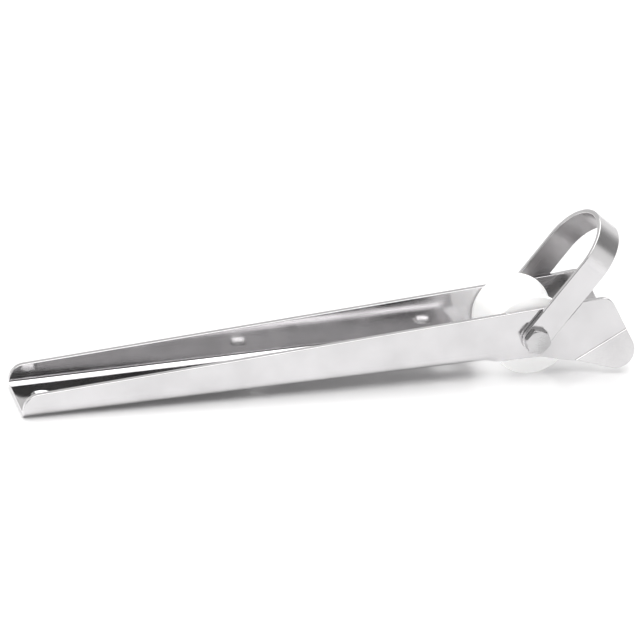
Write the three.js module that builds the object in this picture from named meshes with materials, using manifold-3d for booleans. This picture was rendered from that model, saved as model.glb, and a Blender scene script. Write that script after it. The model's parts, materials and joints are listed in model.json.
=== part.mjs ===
// Bow anchor roller: a long folded channel of stainless sheet that bolts flat to a deck,
// a grooved roller between its two side plates, and a flat-bar bail that swings over it.
//
// Millimetres. +X points forward, from the aft edge of the channel to the roller, +Y across, +Z up.
// Z = 0 is the underside of the channel's floor, which lies on the deck.
// The pieces are drawn with X = 0 at the aft edge; the last group moves the origin to the deck datum.

import * as THREE from 'three';
import { mergeVertices } from 'three/addons/utils/BufferGeometryUtils.js';
import Module from 'manifold-3d';

const wasm = await Module();
wasm.setup();

// ---- Driving dimensions ----------------------------------------------------------------------

// Sheet and channel
const SHEET = 4;                  // thickness of the stainless sheet
const OUTER_WIDTH = 56;           // across the outside of the two side plates
const BEND_RADIUS = 3;            // inside radius of the two long bends
const AFT_HEIGHT = 15.7;           // height of the walls at the aft edge
const WALL_RISE = 0.054;          // how much the wall tops climb per millimetre going forward
const AFT_CORNER_RADIUS = 11;     // rounded upper corner of each wall at the aft edge
const FLOOR_EDGE_RADIUS = 1.2;    // softened lower edge of the floor at the aft end
const AFT_HOLE = 17;              // deck fastener holes: the first, from the aft edge
const MID_HOLE = 162;             // the middle one, from the aft edge
const FORWARD_HOLE = 20;          // the last, back from the forward end of the floor
const HOLE_DIAMETER = 10.5;
const HOLE_RIM = 1.8;             // width of the sloped rim round the top of each hole

// Roller and its axle
const AXLE_X = 348;               // from the aft edge
const AXLE_Z = 14.2;              // above the deck
const BOLT_DIAMETER = 10;
const BOLT_CLEARANCE = 0.3;       // all round the bolt, in every hole that it passes through
const SLEEVE_WALL = 1.7;
const RUNNING_GAP = 0.3;          // all round the sleeve, in the roller and in the thrust washers
const ROLLER_DIAMETER = 56;
const ROLLER_LAND = 3.5;          // flat outer land at each end of the roller
const GROOVE_DEPTH = 9;
const ROLLER_EDGE_RADIUS = 1;
const FLOOR_TO_ROLLER = 7;        // from the end of the floor to the roller
const THRUST_WASHER = 1;          // thickness
const THRUST_WASHER_DIAMETER = 24;
const END_PLAY = 0.25;            // between neighbouring pieces along the axle

// Cheeks: the side plates ahead of the axle, as laid out flat before folding
const CHEEK_REACH = 81.1;         // from the axle to where the front and lower edges would meet
const CHEEK_RAKE = 25.3;          // lean of the front edge from the vertical, degrees
const CHEEK_TOP_RADIUS = 9;
const CHEEK_TOE_RADIUS = 12.7;
const LIP_DROP = 6.2;             // how far the lip's heel is below the deck
const LIP_LENGTH = 49.6;          // length of the lip's lower edge, back from the toe
const LIP_FALL = 14.1;            // how much that edge falls towards the toe
const LIP_RUN_UP = 28;            // length of the slope from the lip back up to the deck line
const LIP_HEEL_RADIUS = 20;
const CREASE_HEIGHT = 13.9;       // where the crease meets the front edge, above the deck
const CREASE_SLOPE = 28;          // degrees above horizontal
const LIP_ANGLE = 9;              // how far the lip is folded outwards, degrees
const FLARE_ANGLE = 4;            // how far each cheek is folded outwards, degrees

// Bail: one flat bar bent into a loop
const BAR_WIDTH = 18.5;
const BAR_THICKNESS = 3;
const BAIL_STRAIGHT = 59;         // from the axle to where the arms start to bend into the loop
const BAIL_LEAN = 49;             // angle of the arms above horizontal when leaning forward, degrees
const BAIL_TO_FLARE = 2.2;        // from the arms' front edges to the fold of the flare
const BAIL_GAP = 0.4;             // between each side plate and the arm beside it

// Pivot bolt, washer and lock nut
const HEX_ACROSS_FLATS = 16;
const HEAD_HEIGHT = 5;
const HEAD_TURN = 43;             // how the bolt was left when tightened, degrees
const HEX_CHAMFER = 30;           // slope of the turned-off hex corners, degrees
const HEX_FACE = 0.97;            // turned flat face, as a share of the width across flats
const WASHER_THICKNESS = 1.6;
const WASHER_DIAMETER = 20;
const NUT_HEIGHT = 8;
const NUT_COLLAR_HEIGHT = 2.2;
const NUT_COLLAR_WALL = 0.8;      // of the collar outside the insert
const INSERT_WALL = 1.2;
const THREAD_OVERHANG = 2;        // thread showing past the nut
const THREAD_CHAMFER = 1;

// ---- Derived places ---------------------------------------------------------------------------

const HALF_WIDTH = OUTER_WIDTH / 2;
const HALF_INSIDE = HALF_WIDTH - SHEET;
const FLOOR_LENGTH = AXLE_X - ROLLER_DIAMETER / 2 - FLOOR_TO_ROLLER;
const HOLE_PLACES = [AFT_HOLE, MID_HOLE, FLOOR_LENGTH - FORWARD_HOLE];
const DECK_DATUM = (HOLE_PLACES[0] + HOLE_PLACES[2]) / 2;
const BOLT_HOLE_RADIUS = BOLT_DIAMETER / 2 + BOLT_CLEARANCE;
const SLEEVE_RADIUS = BOLT_HOLE_RADIUS + SLEEVE_WALL;
const SLEEVE_HOLE_RADIUS = SLEEVE_RADIUS + RUNNING_GAP;
const WASHER_START = HALF_INSIDE - END_PLAY - THRUST_WASHER;
const ROLLER_HALF_WIDTH = WASHER_START - END_PLAY;
const ARM_START = HALF_WIDTH + BAIL_GAP;
const ARM_END = ARM_START + BAR_THICKNESS;
const FASTENER_START = ARM_END + END_PLAY;
const NUT_START = FASTENER_START + WASHER_THICKNESS + END_PLAY;
const NUT_END = NUT_START + NUT_HEIGHT;
const BOLT_END = NUT_END + THREAD_OVERHANG;
const BAIL_TOP = BAIL_STRAIGHT + ARM_END;

const PLATE_OVERLAP = 1;          // how far the side plates reach back into the folded channel
const KNUCKLE_SHY = 0.03;         // keeps a fold's knuckle just inside the faces of the sheet
const BEYOND = 600;               // larger than the whole object, for cutting blocks
const ARC_STEPS = 5;
const LOOP_STEPS = 14;
const ROUND_STEPS = 48;

// ---- Finishes ---------------------------------------------------------------------------------

const STEEL = { color: 0xd4d3d6, roughness: 0.28, metalness: 1 };
const FASTENER_STEEL = { color: 0xc2c1c3, roughness: 0.35, metalness: 1 };
const NYLON = { color: 0xf4f4f2, roughness: 0.45, metalness: 0 };

// ---- Helpers ----------------------------------------------------------------------------------

const radians = THREE.MathUtils.degToRad;

// A closed three.js geometry as a solid. Triangles that merging has flattened are dropped.
function solidOf(geometry) {
  const bare = geometry.clone();
  bare.deleteAttribute('normal');
  bare.deleteAttribute('uv');
  const merged = mergeVertices(bare);
  const corners = merged.index.array;
  const kept = [];
  for (let i = 0; i < corners.length; i += 3) {
    const [a, b, c] = corners.slice(i, i + 3);
    if (a !== b && b !== c && c !== a) kept.push(a, b, c);
  }
  const vertProperties = new Float32Array(merged.attributes.position.array);
  return new wasm.Manifold(new wasm.Mesh({ numProp: 3, vertProperties, triVerts: new Uint32Array(kept) }));
}

// The same solid after a rigid move.
function moved(solid, matrix) {
  const mesh = solid.getMesh();
  const places = new THREE.BufferAttribute(mesh.vertProperties, 3).applyMatrix4(matrix);
  const vertProperties = places.array;
  return new wasm.Manifold(new wasm.Mesh({ numProp: 3, vertProperties, triVerts: mesh.triVerts }));
}

function geometryOf(solid) {
  const mesh = solid.getMesh();
  const geometry = new THREE.BufferGeometry();
  geometry.setAttribute('position', new THREE.BufferAttribute(mesh.vertProperties, 3));
  geometry.setIndex(new THREE.BufferAttribute(mesh.triVerts, 1));
  geometry.computeVertexNormals();
  return geometry;
}

// A closed outline through corners [x, y, radius]; a corner without a radius stays sharp.
function outline(corners) {
  const shape = new THREE.Shape();
  const points = corners.map(([x, y]) => new THREE.Vector2(x, y));
  corners.forEach(([x, y, radius], i) => {
    if (!radius) {
      if (i === 0) shape.moveTo(x, y);
      else shape.lineTo(x, y);
      return;
    }
    const back = points.at(i - 1).clone().sub(points[i]).normalize();
    const on = points[(i + 1) % points.length].clone().sub(points[i]).normalize();
    const half = back.angleTo(on) / 2;
    const start = back.clone().multiplyScalar(radius / Math.tan(half));
    const end = on.clone().multiplyScalar(radius / Math.tan(half));
    const centre = back.clone().add(on).setLength(radius / Math.sin(half));
    const from = start.sub(centre).angle();
    const to = end.sub(centre).angle();
    shape.absarc(x + centre.x, y + centre.y, radius, from, to, back.cross(on) > 0);
  });
  shape.closePath();
  return shape;
}

// A side-view outline (x, z) made solid from y = low to y = high.
function acrossSolid(shape, low, high) {
  const geometry = new THREE.ExtrudeGeometry(shape, {
    depth: high - low, bevelEnabled: false, curveSegments: ARC_STEPS,
  });
  geometry.rotateX(Math.PI / 2);
  geometry.translate(0, high, 0);
  return solidOf(geometry);
}

// An end-view outline (y, z) made solid from x = 0 to x = length.
function alongSolid(shape, length) {
  const geometry = new THREE.ExtrudeGeometry(shape, {
    depth: length, bevelEnabled: false, curveSegments: ARC_STEPS,
  });
  const axes = new THREE.Matrix4().makeBasis(
    new THREE.Vector3(0, 1, 0), new THREE.Vector3(0, 0, 1), new THREE.Vector3(1, 0, 0));
  geometry.applyMatrix4(axes);
  return solidOf(geometry);
}

// A turned piece: profile points [radius, place along Y], closed on itself when it is a ring.
function turned(profile) {
  const points = profile.map(([radius, place]) => new THREE.Vector2(radius, place));
  return new THREE.LatheGeometry(points, ROUND_STEPS);
}

// A plain ring about the Y axis.
function ring(innerRadius, outerRadius, low, high) {
  return turned([
    [innerRadius, low], [outerRadius, low], [outerRadius, high], [innerRadius, high], [innerRadius, low],
  ]);
}

function part(name, geometry, finish) {
  const mesh = new THREE.Mesh(geometry, new THREE.MeshStandardMaterial(finish));
  mesh.name = name;
  return mesh;
}

// ---- Channel ----------------------------------------------------------------------------------

const wallTop = (x) => AFT_HEIGHT + WALL_RISE * x;

// The toe is where the cheek's front and lower edges would meet without their rounded corner.
const TOE = new THREE.Vector2(AXLE_X + CHEEK_REACH, -LIP_DROP - LIP_FALL);
const RAKE_SLOPE = Math.tan(radians(CHEEK_RAKE));

// The point of the front edge at height z.
const frontEdge = (z) => new THREE.Vector2(TOE.x - (z - TOE.y) * RAKE_SLOPE, z);

// Where the front edge, leaning back as it rises, meets the climbing wall top.
function cheekTop() {
  const z = (wallTop(TOE.x) + WALL_RISE * RAKE_SLOPE * TOE.y) / (1 + WALL_RISE * RAKE_SLOPE);
  return frontEdge(z);
}

// Side view of a whole side plate, flat: up the aft end, along the top, down the front, back along
// the lip and the deck line.
function plateOutline() {
  const top = cheekTop();
  const heel = TOE.x - LIP_LENGTH;
  return outline([
    [0, 0, FLOOR_EDGE_RADIUS],
    [heel - LIP_RUN_UP, 0, LIP_HEEL_RADIUS],
    [heel, -LIP_DROP, LIP_HEEL_RADIUS],
    [TOE.x, TOE.y, CHEEK_TOE_RADIUS],
    [top.x, top.y, CHEEK_TOP_RADIUS],
    [0, AFT_HEIGHT, AFT_CORNER_RADIUS],
  ]);
}

// End view of the folded sheet, taller than any wall.
function foldedSection() {
  const tall = 2 * wallTop(TOE.x);
  return outline([
    [-HALF_WIDTH, tall],
    [-HALF_WIDTH, 0, BEND_RADIUS + SHEET],
    [HALF_WIDTH, 0, BEND_RADIUS + SHEET],
    [HALF_WIDTH, tall],
    [HALF_INSIDE, tall],
    [HALF_INSIDE, SHEET, BEND_RADIUS],
    [-HALF_INSIDE, SHEET, BEND_RADIUS],
    [-HALF_INSIDE, tall],
  ]);
}

// A block that fills everything ahead of a fold line through `point` at `slope` degrees.
function blockAhead(point, slope) {
  const block = new THREE.BoxGeometry(2 * BEYOND, BEYOND, BEYOND);
  block.translate(0, 0, -BEYOND / 2);
  block.rotateY(-radians(slope));
  block.translate(point.x, 0, point.y);
  return solidOf(block);
}

// Folds the part of a side plate that lies ahead of a line outwards, about the middle of the sheet.
// A round knuckle along the fold, a hair thinner than the sheet, fills the wedge that opens outside.
function foldOutwards(plate, side, point, slope, angle) {
  const ahead = blockAhead(point, slope);
  const middle = side * (HALF_WIDTH - SHEET / 2);
  const line = new THREE.Vector3(Math.cos(radians(slope)), 0, Math.sin(radians(slope)));
  const turn = new THREE.Matrix4().makeTranslation(point.x, middle, point.y);
  turn.multiply(new THREE.Matrix4().makeRotationAxis(line, side * radians(angle)));
  turn.multiply(new THREE.Matrix4().makeTranslation(-point.x, -middle, -point.y));
  const knuckleRadius = SHEET / 2 - KNUCKLE_SHY;
  const knuckle = new THREE.CylinderGeometry(knuckleRadius, knuckleRadius, BEYOND, ROUND_STEPS / 2);
  knuckle.rotateZ(-Math.PI / 2);
  knuckle.rotateY(-radians(slope));
  knuckle.translate(point.x, middle, point.y);
  const trimmed = solidOf(knuckle).intersect(acrossSolid(plateOutline(), -BEYOND / 2, BEYOND / 2));
  return plate.subtract(ahead).add(moved(plate.intersect(ahead), turn)).add(trimmed);
}

function sidePlate(side) {
  const faces = [side * HALF_INSIDE, side * HALF_WIDTH].sort((a, b) => a - b);
  const flat = acrossSolid(plateOutline(), ...faces);
  const floorEnd = new THREE.Vector2(FLOOR_LENGTH - PLATE_OVERLAP, 0);
  const cheek = flat.intersect(blockAhead(floorEnd, 90));
  const withLip = foldOutwards(cheek, side, frontEdge(CREASE_HEIGHT), CREASE_SLOPE, LIP_ANGLE);
  const lean = radians(BAIL_LEAN);
  const toFlare = BAR_WIDTH / 2 + BAIL_TO_FLARE;
  const flareStart = new THREE.Vector2(AXLE_X + toFlare * Math.sin(lean), AXLE_Z - toFlare * Math.cos(lean));
  return foldOutwards(withLip, side, flareStart, BAIL_LEAN, FLARE_ANGLE);
}

// A deck fastener hole with a rim that slopes in from the top of the floor.
function holeCutter(x) {
  const radius = HOLE_DIAMETER / 2;
  const cutter = turned([
    [0, -SHEET], [radius, -SHEET], [radius, SHEET - HOLE_RIM],
    [radius + HOLE_RIM, SHEET], [radius + HOLE_RIM, 2 * SHEET], [0, 2 * SHEET],
  ]);
  cutter.rotateX(Math.PI / 2);
  cutter.translate(x, 0, 0);
  return solidOf(cutter);
}

function channel() {
  const trough = alongSolid(foldedSection(), FLOOR_LENGTH);
  let solid = trough.intersect(acrossSolid(plateOutline(), -OUTER_WIDTH, OUTER_WIDTH));
  for (const side of [-1, 1]) solid = solid.add(sidePlate(side));
  for (const x of HOLE_PLACES) solid = solid.subtract(holeCutter(x));
  const radius = BOLT_HOLE_RADIUS;
  const axleHole = new THREE.CylinderGeometry(radius, radius, 2 * OUTER_WIDTH, ROUND_STEPS);
  axleHole.translate(AXLE_X, 0, AXLE_Z);
  return part('channel', geometryOf(solid.subtract(solidOf(axleHole))), STEEL);
}

// ---- Pieces on the axle, drawn about the Y axis -------------------------------------------------

// A nylon roller: a land at each end, and between them a groove whose floor is one round hollow.
function anchorRoller() {
  const rim = ROLLER_DIAMETER / 2;
  const grooveEdge = ROLLER_HALF_WIDTH - ROLLER_LAND;
  const grooveRadius = (grooveEdge ** 2 + GROOVE_DEPTH ** 2) / (2 * GROOVE_DEPTH);
  const spread = Math.asin(grooveEdge / grooveRadius);
  const profile = [
    [SLEEVE_HOLE_RADIUS, -ROLLER_HALF_WIDTH],
    [rim - ROLLER_EDGE_RADIUS, -ROLLER_HALF_WIDTH],
    [rim, -ROLLER_HALF_WIDTH + ROLLER_EDGE_RADIUS],
  ];
  const grooveSteps = 12;
  for (let i = 0; i <= grooveSteps; i += 1) {
    const angle = spread * (2 * i / grooveSteps - 1);
    const depth = GROOVE_DEPTH - grooveRadius * (1 - Math.cos(angle));
    profile.push([rim - depth, grooveRadius * Math.sin(angle)]);
  }
  profile.push(
    [rim, ROLLER_HALF_WIDTH - ROLLER_EDGE_RADIUS],
    [rim - ROLLER_EDGE_RADIUS, ROLLER_HALF_WIDTH],
    [SLEEVE_HOLE_RADIUS, ROLLER_HALF_WIDTH],
    [SLEEVE_HOLE_RADIUS, -ROLLER_HALF_WIDTH],
  );
  return part('anchor_roller', turned(profile), NYLON);
}

function axleSleeve() {
  const end = HALF_INSIDE - END_PLAY;
  return part('axle_sleeve', ring(BOLT_HOLE_RADIUS, SLEEVE_RADIUS, -end, end), FASTENER_STEEL);
}

// The pair of nylon washers between the roller and the near (-Y) and far (+Y) side plate.
function thrustWashers() {
  const end = WASHER_START + THRUST_WASHER;
  const radius = THRUST_WASHER_DIAMETER / 2;
  return [
    part('roller_thrust_washer_near', ring(SLEEVE_HOLE_RADIUS, radius, -end, -WASHER_START), NYLON),
    part('roller_thrust_washer_far', ring(SLEEVE_HOLE_RADIUS, radius, WASHER_START, end), NYLON),
  ];
}

// A hexagonal block about the Y axis whose corners are turned off at the ends named in `chamferAt`.
function hexSolid(low, high, chamferAt) {
  const cornerRadius = HEX_ACROSS_FLATS / 2 / Math.cos(Math.PI / 6);
  const hex = new THREE.CylinderGeometry(cornerRadius, cornerRadius, high - low, 6);
  hex.translate(0, (low + high) / 2, 0);
  const flatRadius = HEX_ACROSS_FLATS / 2 * HEX_FACE;
  const outside = HEX_ACROSS_FLATS;
  const slope = (outside - flatRadius) * Math.tan(radians(HEX_CHAMFER));
  const lowEdge = chamferAt.includes('low') ? [[flatRadius, low], [outside, low + slope]] : [[outside, low]];
  const chamferHigh = [[outside, high - slope], [flatRadius, high]];
  const highEdge = chamferAt.includes('high') ? chamferHigh : [[outside, high]];
  const envelope = turned([[0, low], ...lowEdge, ...highEdge, [0, high]]);
  return solidOf(hex).intersect(solidOf(envelope));
}

function pivotBolt() {
  const radius = BOLT_DIAMETER / 2;
  const head = hexSolid(-FASTENER_START - HEAD_HEIGHT, -FASTENER_START, ['low']);
  const shank = turned([
    [0, -FASTENER_START - HEAD_HEIGHT / 2],
    [radius, -FASTENER_START - HEAD_HEIGHT / 2],
    [radius, BOLT_END - THREAD_CHAMFER],
    [radius - THREAD_CHAMFER, BOLT_END],
    [0, BOLT_END],
  ]);
  const bolt = part('pivot_bolt', geometryOf(head.add(solidOf(shank))), FASTENER_STEEL);
  bolt.rotation.y = radians(HEAD_TURN);
  return bolt;
}

function nutWasher() {
  const low = FASTENER_START;
  const geometry = ring(BOLT_HOLE_RADIUS, WASHER_DIAMETER / 2, low, low + WASHER_THICKNESS);
  return part('nut_washer', geometry, FASTENER_STEEL);
}

// The nut's collar stands on the hexagon and holds the nylon insert in a shallow seat.
function lockNut() {
  const hexEnd = NUT_END - NUT_COLLAR_HEIGHT;
  const hex = hexSolid(NUT_START, hexEnd, ['low', 'high']);
  const seatRadius = BOLT_HOLE_RADIUS + INSERT_WALL;
  const inHex = hexEnd - NUT_COLLAR_HEIGHT / 2;
  const collar = ring(BOLT_HOLE_RADIUS, seatRadius + NUT_COLLAR_WALL, inHex, NUT_END);
  const through = new THREE.CylinderGeometry(BOLT_HOLE_RADIUS, BOLT_HOLE_RADIUS, 4 * NUT_END, ROUND_STEPS);
  const seat = new THREE.CylinderGeometry(seatRadius, seatRadius, NUT_HEIGHT, ROUND_STEPS);
  seat.translate(0, hexEnd + NUT_HEIGHT / 2, 0);
  const solid = hex.add(solidOf(collar)).subtract(solidOf(through)).subtract(solidOf(seat));
  return part('lock_nut', geometryOf(solid), FASTENER_STEEL);
}

function lockNutInsert() {
  const seatGap = END_PLAY;
  const outer = BOLT_HOLE_RADIUS + INSERT_WALL - seatGap;
  const low = NUT_END - NUT_COLLAR_HEIGHT + seatGap;
  return part('lock_nut_insert', ring(BOLT_HOLE_RADIUS, outer, low, NUT_END - seatGap), NYLON);
}

// ---- Bail -------------------------------------------------------------------------------------

// Drawn lying along +X from the axle: two arms outside the plates, joined by half a turn of bar,
// with round ends about the bolt.
function bail() {
  const loop = new THREE.Shape();
  loop.moveTo(-BAR_WIDTH, -ARM_END);
  loop.lineTo(BAIL_STRAIGHT, -ARM_END);
  loop.absarc(BAIL_STRAIGHT, 0, ARM_END, -Math.PI / 2, Math.PI / 2, false);
  loop.lineTo(-BAR_WIDTH, ARM_END);
  loop.lineTo(-BAR_WIDTH, ARM_START);
  loop.lineTo(BAIL_STRAIGHT, ARM_START);
  loop.absarc(BAIL_STRAIGHT, 0, ARM_START, Math.PI / 2, -Math.PI / 2, true);
  loop.lineTo(-BAR_WIDTH, -ARM_START);
  loop.closePath();
  const bar = new THREE.ExtrudeGeometry(loop, {
    depth: BAR_WIDTH, bevelEnabled: false, curveSegments: LOOP_STEPS,
  });
  bar.translate(0, 0, -BAR_WIDTH / 2);

  const side = new THREE.Shape();
  side.absarc(0, 0, BAR_WIDTH / 2, Math.PI / 2, 3 * Math.PI / 2, false);
  side.lineTo(BAIL_TOP + BAR_WIDTH, -BAR_WIDTH / 2);
  side.lineTo(BAIL_TOP + BAR_WIDTH, BAR_WIDTH / 2);
  side.closePath();
  const bolt = new THREE.CylinderGeometry(BOLT_HOLE_RADIUS, BOLT_HOLE_RADIUS, 3 * ARM_END, ROUND_STEPS);
  const roundEnds = acrossSolid(side, -2 * ARM_END, 2 * ARM_END).subtract(solidOf(bolt));
  const mesh = part('bail', geometryOf(solidOf(bar).intersect(roundEnds)), STEEL);
  mesh.rotation.y = -radians(BAIL_LEAN);
  return mesh;
}

// ---- Assembly ---------------------------------------------------------------------------------

const axle = new THREE.Group();
axle.position.set(AXLE_X, 0, AXLE_Z);
axle.add(
  anchorRoller(),
  axleSleeve(),
  ...thrustWashers(),
  bail(),
  pivotBolt(),
  nutWasher(),
  lockNut(),
  lockNutInsert(),
);

const bowRoller = new THREE.Group();
bowRoller.add(channel(), axle);
bowRoller.position.x = -DECK_DATUM;

export default bowRoller;
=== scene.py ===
# %% [markdown]
# # A bow anchor roller, from flat sheet to finished fitting
#
# The real object is a boat fitting. One sheet of stainless steel is cut, drilled and folded into a
# long channel that bolts to the deck; a turned nylon roller runs on a bolt between its cheeks, and a
# loop of flat bar, the bail, swings on the same bolt to keep the anchor's shank in place.
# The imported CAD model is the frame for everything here: it says where each piece is and how it
# moves. Each piece is then made again with the fine shape that a camera sees: real bend radii,
# softened edges, a cut thread, a turned groove.

# %% Load the frame and keep the CAD model's box
import json
import math

import bmesh
import bpy
from mathutils import Matrix, Vector
from mathutils.geometry import delaunay_2d_cdt


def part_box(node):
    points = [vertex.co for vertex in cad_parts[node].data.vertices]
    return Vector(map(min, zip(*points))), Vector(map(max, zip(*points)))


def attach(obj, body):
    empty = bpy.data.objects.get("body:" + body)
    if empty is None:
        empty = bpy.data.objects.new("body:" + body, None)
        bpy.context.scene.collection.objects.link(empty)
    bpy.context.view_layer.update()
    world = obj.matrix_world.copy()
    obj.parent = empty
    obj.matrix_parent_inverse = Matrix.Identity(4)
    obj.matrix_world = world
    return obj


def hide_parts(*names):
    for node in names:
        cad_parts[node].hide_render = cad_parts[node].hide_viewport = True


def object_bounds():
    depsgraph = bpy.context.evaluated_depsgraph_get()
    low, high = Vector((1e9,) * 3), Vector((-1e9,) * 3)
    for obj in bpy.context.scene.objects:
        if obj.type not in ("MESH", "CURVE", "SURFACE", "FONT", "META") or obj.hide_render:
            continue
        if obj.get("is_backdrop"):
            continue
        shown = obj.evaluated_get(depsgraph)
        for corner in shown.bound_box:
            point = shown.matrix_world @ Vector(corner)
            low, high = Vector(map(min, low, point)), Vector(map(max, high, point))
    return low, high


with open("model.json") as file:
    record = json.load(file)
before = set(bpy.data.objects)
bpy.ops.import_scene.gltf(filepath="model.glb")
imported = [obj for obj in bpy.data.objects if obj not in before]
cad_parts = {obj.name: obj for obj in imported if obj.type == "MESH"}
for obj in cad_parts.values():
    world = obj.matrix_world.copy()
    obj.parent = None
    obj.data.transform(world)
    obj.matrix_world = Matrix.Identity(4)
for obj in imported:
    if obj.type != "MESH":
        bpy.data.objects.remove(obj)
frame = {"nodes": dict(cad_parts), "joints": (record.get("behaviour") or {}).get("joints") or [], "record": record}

cad_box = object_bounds()
MM = 0.001
print("CAD nodes:", sorted(frame["nodes"]))

# %% [markdown]
# ## The camera
#
# The fitting is seen from its near side, a little from aft and from above, through a long lens, so
# that the channel hardly tapers with distance. A camera can be aimed with a Track To constraint,
# but building its matrix from azimuth, elevation and roll keeps each angle a plain number that can
# be set by itself.

# %% Camera
AZIMUTH = math.radians(-15.68)
ELEVATION = math.radians(22.56)
ROLL = math.radians(-0.56)
DISTANCE = 2.041
AIM = Vector((0.0606, 0.0327, 0.0194))
SENSOR_WIDTH = 36.0
FOCAL_LENGTH = 169.6

away = Vector((
    math.sin(AZIMUTH) * math.cos(ELEVATION),
    -math.cos(AZIMUTH) * math.cos(ELEVATION),
    math.sin(ELEVATION),
))
level_right = Vector((math.cos(AZIMUTH), math.sin(AZIMUTH), 0))
level_up = away.cross(level_right)
right = level_right * math.cos(ROLL) + level_up * math.sin(ROLL)
up = level_up * math.cos(ROLL) - level_right * math.sin(ROLL)

camera = bpy.data.objects.new("camera", bpy.data.cameras.new("camera"))
camera.data.sensor_width = SENSOR_WIDTH
camera.data.lens = FOCAL_LENGTH
camera.data.clip_end = 50
turned = Matrix((right, up, away)).transposed().to_4x4()
camera.matrix_world = Matrix.Translation(AIM + away * DISTANCE) @ turned
bpy.context.scene.collection.objects.link(camera)
bpy.context.scene.camera = camera
print("camera at", [round(c, 3) for c in camera.location])

# %% [markdown]
# ## Where things are
#
# The axle is the pivot of both joints. The aft end of the channel is the lowest x of its node, and
# everything along the channel is measured from there, as on a workshop drawing. The deck holes are
# the openings that the record states for their bolts. The bail leans forward at rest, and three
# things follow that lean: its own shape, its grain and the fold that flares the cheeks.

# %% Places taken from the frame
joints = {joint["name"]: joint for joint in frame["joints"]}
axle = Vector(joints["roller_spin"]["pos_m"])
aft_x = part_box("channel")[0].x
axle_from_aft = (axle.x - aft_x) / MM
axle_height = axle.z / MM
roller_low, roller_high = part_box("anchor_roller")
roller_radius = (roller_high.z - roller_low.z) / 2 / MM
roller_half_width = roller_high.y / MM
deck_holes = [
    (sum(corner[0] for corner in opening["box_m"]) / 2 - aft_x) / MM
    for opening in frame["record"]["physics"]["openings"]
    if opening["name"].startswith("deck_hole")
]
BAIL_LEAN = math.radians(49)
print("axle", round(axle_from_aft, 2), "from aft,", round(axle_height, 2), "up; deck holes at",
      [round(place, 1) for place in sorted(deck_holes)])

# %% [markdown]
# ## Table and light
#
# Off its deck, the fitting lies on the lower edge of its aft end and on the roller, which hangs a
# little below the floor. So the table is a plane through those two, and it leans by about two
# degrees against the channel. It is a plain white sheet of acrylic, large enough to fill every
# view, and lit faintly from below as on a light table, which keeps the shadows from going black.
#
# Polished steel shows what is around it more than it shows light, so the room is drawn as bands that
# the steel can mirror: bright overhead, white low down, half lit behind the fitting, dimmer to the
# right and nearly dark around the camera. That puts white table in the outer walls, shade inside
# the channel, and a bright line along every bend. Lamps could do the same, but bands of one sky
# have no edges of their own to show up in the steel. A band's edges are given as the part of a
# direction's length that points up, or to the back, and they are soft.

# %% Table
reach = axle_from_aft
table_lean = math.asin(roller_radius / math.hypot(reach, axle_height)) - math.atan2(axle_height, reach)
TABLE_HALF = 6.0
TABLE_TONE = (0.86, 0.86, 0.865, 1)
TABLE_ROUGHNESS = 0.12
TABLE_GLOW = 0.06

bm = bmesh.new()
for x, y in ((-1, -1), (1, -1), (1, 1), (-1, 1)):
    bm.verts.new((x * TABLE_HALF, y * TABLE_HALF, 0))
bm.faces.new(bm.verts)
table_mesh = bpy.data.meshes.new("table")
bm.to_mesh(table_mesh)
bm.free()
table = bpy.data.objects.new("table", table_mesh)
table.matrix_world = Matrix.Translation((aft_x, 0, 0)) @ Matrix.Rotation(table_lean, 4, "Y")
bpy.context.scene.collection.objects.link(table)
table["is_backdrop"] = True

table_white = bpy.data.materials.new("table_white")
table_white.use_nodes = True
board = table_white.node_tree.nodes["Principled BSDF"]
board.inputs["Base Color"].default_value = TABLE_TONE
board.inputs["Roughness"].default_value = TABLE_ROUGHNESS
board.inputs["Emission Color"].default_value = (1.0, 0.995, 1.0, 1)
board.inputs["Emission Strength"].default_value = TABLE_GLOW
table.data.materials.append(table_white)
print("table leans", round(math.degrees(table_lean), 2), "degrees")

# %% Room light
OVERHEAD = 2.6
LOW_WALL = 0.95
BEHIND = 0.7
TO_THE_RIGHT = 0.25
BY_THE_CAMERA = 0.05
OVERHEAD_EDGE = (0.66, 0.78)
LOW_WALL_EDGE = (0.22, 0.26)
BEHIND_EDGE = (0.0, 0.6)
CAMERA_EDGE = (-0.75, -0.1)

world = bpy.data.worlds.new("room")
world.use_nodes = True
bpy.context.scene.world = world
nodes = world.node_tree.nodes
links = world.node_tree.links
background = nodes["Background"]
direction = nodes.new("ShaderNodeTexCoord")
parts = nodes.new("ShaderNodeSeparateXYZ")
links.new(direction.outputs["Generated"], parts.inputs[0])


def graded(value, low, high):
    """Goes smoothly from 0 to 1 as its input goes from low to high."""
    step = nodes.new("ShaderNodeMapRange")
    step.interpolation_type = "SMOOTHSTEP"
    step.inputs["From Min"].default_value = low
    step.inputs["From Max"].default_value = high
    links.new(value, step.inputs["Value"])
    return step.outputs["Result"]


def blended(share, first, second):
    """Mixes two brightnesses, each a number or a socket."""
    mix = nodes.new("ShaderNodeMix")
    mix.data_type = "FLOAT"
    links.new(share, mix.inputs["Factor"])
    for brightness, socket in ((first, mix.inputs["A"]), (second, mix.inputs["B"])):
        if isinstance(brightness, (int, float)):
            socket.default_value = brightness
        else:
            links.new(brightness, socket)
    return mix.outputs["Result"]


to_back, upwards = parts.outputs["Y"], parts.outputs["Z"]
sides = blended(graded(to_back, *CAMERA_EDGE), BY_THE_CAMERA, TO_THE_RIGHT)
middle_room = blended(graded(to_back, *BEHIND_EDGE), sides, BEHIND)
lower_room = blended(graded(upwards, *LOW_WALL_EDGE), LOW_WALL, middle_room)
room = blended(graded(upwards, *OVERHEAD_EDGE), lower_room, OVERHEAD)
links.new(room, background.inputs["Strength"])
background.inputs["Color"].default_value = (1.0, 0.995, 0.99, 1)

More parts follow.
